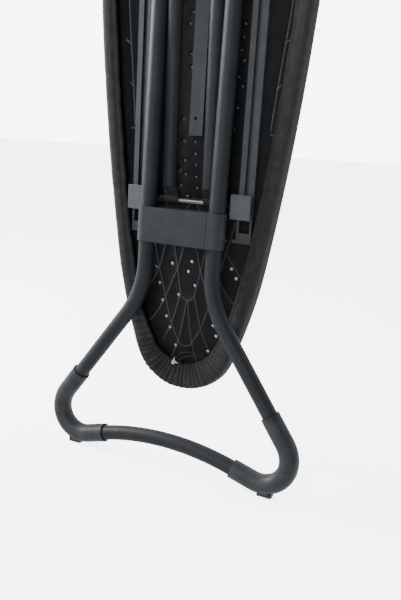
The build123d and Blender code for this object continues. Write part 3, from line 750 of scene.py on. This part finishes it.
# The gathers. Each pair for a fold is the least and the most.
GATHER_NOSE = 6.0 * MM
GATHER_SIDE = 0.55 * MM
GATHER_GAIN = 1.7             # the gathers come in this much faster than the outline's bend
MOST_SHARP = 1.2              # the sharpest bend counted, the nose's own being 1
FOLD_PITCH = (8 * MM, 14.5 * MM)
FOLD_STRENGTH = (0.45, 1.0)
FOLD_OWN_REACH = (0.35, 1.0)
FOLD_LEAN = (0.35, 0.65)      # where its crest lies between its two valleys
CREST_POWER = 0.45            # below 1, crests are broad and valleys narrow
FOLD_LEVEL = 0.75             # the share of a fold's height that lies on the plain surface
FOLD_REACH = (18 * MM, 40 * MM)   # on the sides, and what the nose adds
REACH_SHARE = (0.5, 0.7)      # of that, for every fold, and what its own reach adds
FOLD_GONE = 1.15              # the share of its reach at which a fold has died out
RIPPLE_PITCH = (2.6 * MM, 4.4 * MM)
RIPPLE = 0.5 * MM
RIPPLE_REACH = 11 * MM
SWAY_SPREAD = 20              # stations each way
SWAY_GAIN = 6
SWAY_OUT = 0.25 * MM
SWAY_FROM = 20 * MM           # the sway is full this far from the hem's edge
SWAY_SIDE = 0.8 * MM
WANDER_REACH = 9 * MM         # the hem's own edge wanders over this much of it
EDGE_SHIFT = 0.4              # and follows the folds by this share of their height
MOST_OUT = 2.2 * MM
MOST_IN = (1.1 * MM, 4.0 * MM)    # on the rim, and what the hem inside it adds
DEEPER_OVER = 6 * MM          # the width over which that is added
SWELL_GAIN = 1.2              # the nose's swell comes in this much faster than the bend
SWELL_GONE = 1.4              # and dies out this many times RIM_REACH inward
SHADE_GAIN = 1.7              # how much faster a valley's painted shade comes in than the valley deepens
SHADE_SHOWS = 1.4             # how much more its painted shade shows on a row than the fold itself
BACK_WAVE = 0.35 * MM
WAVES_ACROSS = 47             # in radians a metre, as are the next two
WAVES_ALONG = 33
WAVES_BEND = 21
BACK_SINK = 0.2 * MM          # the back's middle lies this much inside its edge
BACK_RINGS = ((5 * MM, 5 * MM), (12 * MM, 10 * MM))   # rings of points: inward from the edge, and apart
BACK_CLEAR = 19 * MM          # the back's grid stays this far inside its edge


def bends(normals):
    """How sharply the outline turns at each station, spread out along it, from 0 to 1."""
    step = np.abs(np.diff(np.unwrap(np.arctan2(normals[:, 1], normals[:, 0])), append=0))
    step[-1] = step[0]
    sharp = np.clip(step / COVER_STEP * NOSE_R, 0, MOST_SHARP)
    reach = int(BEND_SPREAD / COVER_STEP)
    window = np.hanning(2 * reach + 1)
    wide = np.concatenate([sharp[-reach:], sharp, sharp[:reach]])
    return np.clip(np.convolve(wide, window / window.sum(), "valid"), 0, 1)


def folds(run, pitches, seed):
    """For each station: the height of its fold, 0 in a valley, and the fold's strength and reach."""
    draw = np.random.default_rng(seed)
    total = run[-1] + COVER_STEP
    widths = draw.uniform(*pitches, int(2 * total / pitches[0]))
    valleys = np.concatenate([[0], np.cumsum(widths)])
    valleys = valleys[:np.searchsorted(valleys, total) + 1]
    valleys *= total / valleys[-1]
    which = np.searchsorted(valleys, run, side="right") - 1
    share = (run - valleys[which]) / (valleys[which + 1] - valleys[which])
    strength = draw.uniform(*FOLD_STRENGTH, len(valleys))[which]
    reach = draw.uniform(*FOLD_OWN_REACH, len(valleys))[which]
    lean = draw.uniform(*FOLD_LEAN, len(valleys))[which]
    bent = np.where(share < lean, share / lean * 0.5, 0.5 + (share - lean) / (1 - lean) * 0.5)
    return np.sin(math.pi * bent)**CREST_POWER, strength, reach


def slow_sway(count):
    """A slow wander round the outline, about -1 to 1."""
    sway = np.random.default_rng(3).uniform(-1, 1, count)
    blur = np.hanning(2 * SWAY_SPREAD + 1)
    wide = np.concatenate([sway[-SWAY_SPREAD:], sway, sway[:SWAY_SPREAD]])
    return np.convolve(wide, blur / blur.sum(), "valid") * SWAY_GAIN


def cover_rows(hem):
    """Rows of the cloth, from the hem's turned edge, over the front corner and side, to the back.

    hem is the hem's width at each station. A row holds its inset from the outline, its place back
    from the hem's face, its way out (outward, backward), its run from the hem's edge, and how much
    of a fold shows on it.
    """
    rows = []
    for back_in, proud, weight in CASING_ROWS:
        rows.append((hem - back_in * MM, proud * MM, (0.0, -1.0), back_in * MM, weight))
    for share in FACE_SHARES:
        along = CASING + share * (hem - CASING - FRONT_R)
        rows.append((hem - along, CASING_STEP * (1 - share), (0.0, -1.0), along, 1.0))
    for a in np.radians(FRONT_ANGLES):
        rows.append((FRONT_R * (1 - math.sin(a)), FRONT_R * (1 - math.cos(a)),
                     (math.sin(a), -math.cos(a)), hem - FRONT_R + FRONT_R * a, 1.0))
    side = BACK_Y - HEM_Y - FRONT_R - BACK_R
    for share in SIDE_SHARES:
        bulge = SIDE_BULGE * math.sin(BULGE_TURN * share)
        along = hem + CORNER_RUN + share * side
        rows.append((-bulge, FRONT_R + share * side, (1.0, 0.0), along, SIDE_SHOWS))
    for a in np.radians(BACK_ANGLES):
        inset = BACK_R * (1 - math.cos(a)) - BULGE_LEFT * SIDE_BULGE * math.cos(a)
        back = BACK_Y - HEM_Y - BACK_R * (1 - math.sin(a))
        along = hem + CORNER_RUN + side + BACK_R * a
        rows.append((inset, back, (math.cos(a), math.sin(a)), along, CORNER_SHOWS))
    return rows


def gathered_rows(points, normals, run):
    """The vertices of the rows from the hem to the back's corner, and the painted shade each gets deep in a
    fold.
    """
    sharp = bends(normals)
    hem = HEM_WIDTH + NOSE_HEM_EXTRA * sharp * (points[:, 1] < NOSE_Z + LENGTH / 2)
    wave, strength, reach = folds(run, FOLD_PITCH, 11)
    fine, fine_strength, _ = folds(run, RIPPLE_PITCH, 23)
    gathered = smooth(sharp * GATHER_GAIN)
    depth = GATHER_SIDE + (GATHER_NOSE - GATHER_SIDE) * gathered
    fold_reach = (FOLD_REACH[0] + FOLD_REACH[1] * sharp) * (REACH_SHARE[0] + REACH_SHARE[1] * reach)
    sway = slow_sway(len(points))
    vertices, shades = [], []
    for inset, back, (outward, backward), along, weight in cover_rows(hem):
        reached = smooth(FOLD_GONE - along / fold_reach)
        lift = depth * strength * (wave - FOLD_LEVEL) * reached * weight
        lift += RIPPLE * (fine - 0.5) * fine_strength * smooth(1 - along / RIPPLE_REACH) * weight
        lift += SWAY_OUT * sway * smooth(along / SWAY_FROM) * weight
        deepest = MOST_IN[0] + MOST_IN[1] * smooth((inset - RIM_REACH / 2) / DEEPER_OVER)
        lift = np.clip(lift, -deepest, MOST_OUT)
        # painted shade in the folds' valleys, darkest where a fold is deep, strong and gathered
        valley = np.clip((FOLD_LEVEL - wave) * SHADE_GAIN, 0, 1) * strength * reached * gathered
        shades.append(valley * min(1, weight * SHADE_SHOWS))
        shift = sway * SWAY_SIDE + (wave - FOLD_LEVEL) * depth * EDGE_SHIFT * strength
        shift *= smooth(1 - along / WANDER_REACH)
        swell = NOSE_BULGE * smooth(sharp * SWELL_GAIN) * smooth(SWELL_GONE - inset / RIM_REACH)
        spot = points - normals * (inset - swell - outward * lift + shift)[:, None]
        y = HEM_Y + back + HEM_SLOPE * np.maximum(inset - RIM_REACH, 0) + backward * lift
        vertices += list(np.stack([spot[:, 0], y, spot[:, 1]], 1))
    return vertices, np.concatenate(shades)


def fitted_cover():
    points, normals, run = outline(COVER_STEP)
    count = len(points)
    vertices, shades = gathered_rows(points, normals, run)
    faces = []
    for a in range(0, len(vertices) - count, count):
        b = a + count
        faces += [(a + i, a + (i + 1) % count, b + (i + 1) % count, b + i) for i in range(count)]

    # The back: on from the last row, its triangles growing inward over two coarser rings.
    edge = np.array(vertices[-count:])
    inner = []
    for inward, step in BACK_RINGS:
        ring, ring_normals, _ = outline(step)
        inner.append(ring - ring_normals * (BACK_R + inward))
    grid = grid_over(GRID_HALF_WIDTH, COVER_GRID)
    grid = grid[inside(grid, BACK_R + BACK_CLEAR)]
    spots, fill = fill_plan(edge[:, [0, 2]], np.concatenate(inner + [grid]))
    faces += fill_faces(fill, count, len(vertices) - count, len(vertices), -1)
    x, z = spots[count:].T
    across = np.sin(x * WAVES_ACROSS + 1.3 * np.sin(z * WAVES_BEND))
    wave = BACK_WAVE * (across * np.sin(z * WAVES_ALONG + 0.7))
    y = edge[:, 1].max() + (wave - BACK_SINK)
    vertices += list(np.stack([x, y, z], 1))

    piece = add_piece("fitted_cover", mesh_of("fitted_cover", vertices, faces), COTTON)
    # the folds' painted shade, for the cover's material to read
    set_shade(piece, "valley", shades)
    cloth = piece.modifiers.new("cloth_thickness", "SOLIDIFY")
    cloth.thickness = CLOTH_T
    cloth.offset = -1
    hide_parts("cover")
    return piece


# ---- The drawstring at the nose ----
# Points here are in millimetres from the middle of the knot's CAD ball.
CORD_R = 1.0 * MM
ELASTIC_R = 0.9 * MM
KNOT_SHIFT = -3.5             # the knot's place across; this and its sizes are in millimetres
KNOT_SIZE = (2.2, 1.1)        # its ring's radius, and how far its strand weaves in and out
KNOT_DEPTH = 1.2              # and how far forward and back
KNOT_START = 0.35             # the formula's angle goes from this to a full turn, twice round the ring
KNOT_POINTS = 26


def tube(name, offsets, radius, material):
    """A soft cord: a smooth line through given points near the knot, with a round section."""
    curve = bpy.data.curves.new(name, "CURVE")
    curve.dimensions = "3D"
    curve.bevel_depth = radius
    curve.bevel_resolution = 3
    curve.use_fill_caps = True
    spline = curve.splines.new("NURBS")
    spline.points.add(len(offsets) - 1)
    for point, offset in zip(spline.points, offsets):
        point.co = (*(KNOT + Vector(offset) * MM), 1)
    spline.order_u = 3
    spline.use_endpoint_u = True
    line = bpy.data.objects.new(name, curve)
    mesh = bpy.data.meshes.new_from_object(line)
    bpy.data.objects.remove(line)
    return add_piece(name, mesh, material)


def cord_knot():
    """An overhand knot in the white cord, pulled tight, with two short ends."""
    ring, strand = KNOT_SIZE
    turns = []
    for t in np.linspace(KNOT_START, 2 * math.pi, KNOT_POINTS):
        out = ring + strand * math.cos(3 * t)
        turns.append((out * math.cos(2 * t), KNOT_DEPTH * math.sin(3 * t), out * math.sin(2 * t)))
    end = [(9.0, 0.6, 0.5), (5.0, 0.2, -0.5)]
    tail = [(3.4, 0.8, 1.5), (1.0, 0.6, 4.6), (1.4, 0.2, 9.0)]
    offsets = [(KNOT_SHIFT + x, y, z) for x, y, z in end + turns + tail]
    knot = tube("drawstring_white_knot", offsets, CORD_R, CORD)
    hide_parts("drawstring_knot")
    return knot


# Each strand of the hem's elastic beside the knot.
STRANDS = {
    "hem_elastic_upper": ((-9, 4, 3), (0, 2, 8), (9, 1, 20), (22, 1, 25), (38, 2, 24), (52, 5, 21)),
    "hem_elastic_lower": ((-7, 4, -2), (2, 2, 3), (14, 1, 13), (30, 1, 19), (44, 2, 18), (55, 5, 17)),
    "hem_elastic_loop": ((-12, 4, 8), (-8, 1, 13), (1, 0, 12), (7, 1, 7), (10, 4, 0)),
}

pressed_top()
felt_layer()
cover = fitted_cover()
knot = cord_knot()
strands = [tube(name, offsets, ELASTIC_R, ELASTIC) for name, offsets in STRANDS.items()]

# ---- Camera ----
LENS = 37.43
PLACE = Vector((0.4713, -0.9758, 0.5894))
PAN = math.radians(23.875)
TILT = math.radians(-14.12)
ROLL = math.radians(3.56)

camera_data = bpy.data.cameras.new("camera")
camera_data.sensor_fit = "VERTICAL"
camera_data.sensor_height = 36
camera_data.lens = LENS
camera = bpy.data.objects.new("camera", camera_data)
bpy.context.collection.objects.link(camera)
level = Matrix.Rotation(PAN, 4, "Z") @ Matrix.Rotation(math.pi / 2 + TILT, 4, "X")
aim = level @ Matrix.Rotation(ROLL, 4, "Z")
camera.matrix_world = Matrix.Translation(PLACE) @ aim
bpy.context.scene.camera = camera


# ---- Studio ----
LIT_POINT = Vector((0, 0, 0.5))
FLOOR_SIZE = 80
FLOOR_GLOW = 4.6              # the floor shows pale by its own light, and lights nothing
FRONT_LIGHT = 0.13            # the world's light from the front (-Y)
BEHIND_LIGHT = 1.6            # and from behind
BOUNCE_LIGHT = 1.1            # added from below, as the floor's bounce
BACKDROP_LIGHT = 8.0          # what the camera sees of the world
FRONT_TO_BEHIND = (-0.1, 0.5)     # the direction's Y over which the one turns into the other
LEVEL_TO_BELOW = (-0.05, -0.4)    # the direction's Z over which the bounce sets in


def area_light(name, place, size, power):
    data = bpy.data.lights.new(name, "AREA")
    data.size = size
    data.energy = power
    lamp = bpy.data.objects.new(name, data)
    lamp.location = place
    lamp.rotation_euler = (LIT_POINT - Vector(place)).to_track_quat("-Z", "Y").to_euler()
    bpy.context.collection.objects.link(lamp)


def studio_floor():
    bpy.ops.mesh.primitive_plane_add(size=FLOOR_SIZE, location=(0, 0, 0))
    floor = bpy.context.object
    floor.name = "floor"
    material, tree, shader = node_tree("floor_paint")
    tone = remap(tree, noise(tree, 2.5, 3), 0.3, 0.7, 0, 1)
    set_colour(tree, shader, mix_colour(tree, tone, grey(0.86), grey(0.90)))
    shader.inputs["Roughness"].default_value = 0.35
    shader.inputs["Emission Color"].default_value = (1, 1, 1, 1)
    shader.inputs["Emission Strength"].default_value = FLOOR_GLOW
    floor.visible_diffuse = False
    floor.visible_glossy = False
    paint(floor, material)


def studio_world():
    """Soft light by direction, and a pale backdrop for the camera alone."""
    world = bpy.data.worlds.new("studio")
    bpy.context.scene.world = world
    world.use_nodes = True
    tree = world.node_tree
    backdrop = tree.nodes["Background"]
    backdrop.inputs["Color"].default_value = (0.95, 0.97, 1.0, 1)
    seen = add_node(tree, "ShaderNodeLightPath").outputs["Is Camera Ray"]
    heading = along_axes(tree, add_node(tree, "ShaderNodeTexCoord").outputs["Generated"])
    glow = remap(tree, heading["Y"], *FRONT_TO_BEHIND, FRONT_LIGHT, BEHIND_LIGHT)
    bounce = remap(tree, heading["Z"], *LEVEL_TO_BELOW, 0, BOUNCE_LIGHT)
    light = maths(tree, "ADD", glow, bounce)
    unseen = maths(tree, "MULTIPLY", light, maths(tree, "SUBTRACT", 1, seen))
    shown = maths(tree, "MULTIPLY", seen, BACKDROP_LIGHT)
    tree.links.new(maths(tree, "ADD", unseen, shown), backdrop.inputs["Strength"])


area_light("key", (-2.19, -0.30, 1.67), size=1.5, power=220)
area_light("fill", (0.3, -3.0, 1.3), size=1.6, power=50)
studio_floor()
studio_world()

bpy.context.view_layer.update()
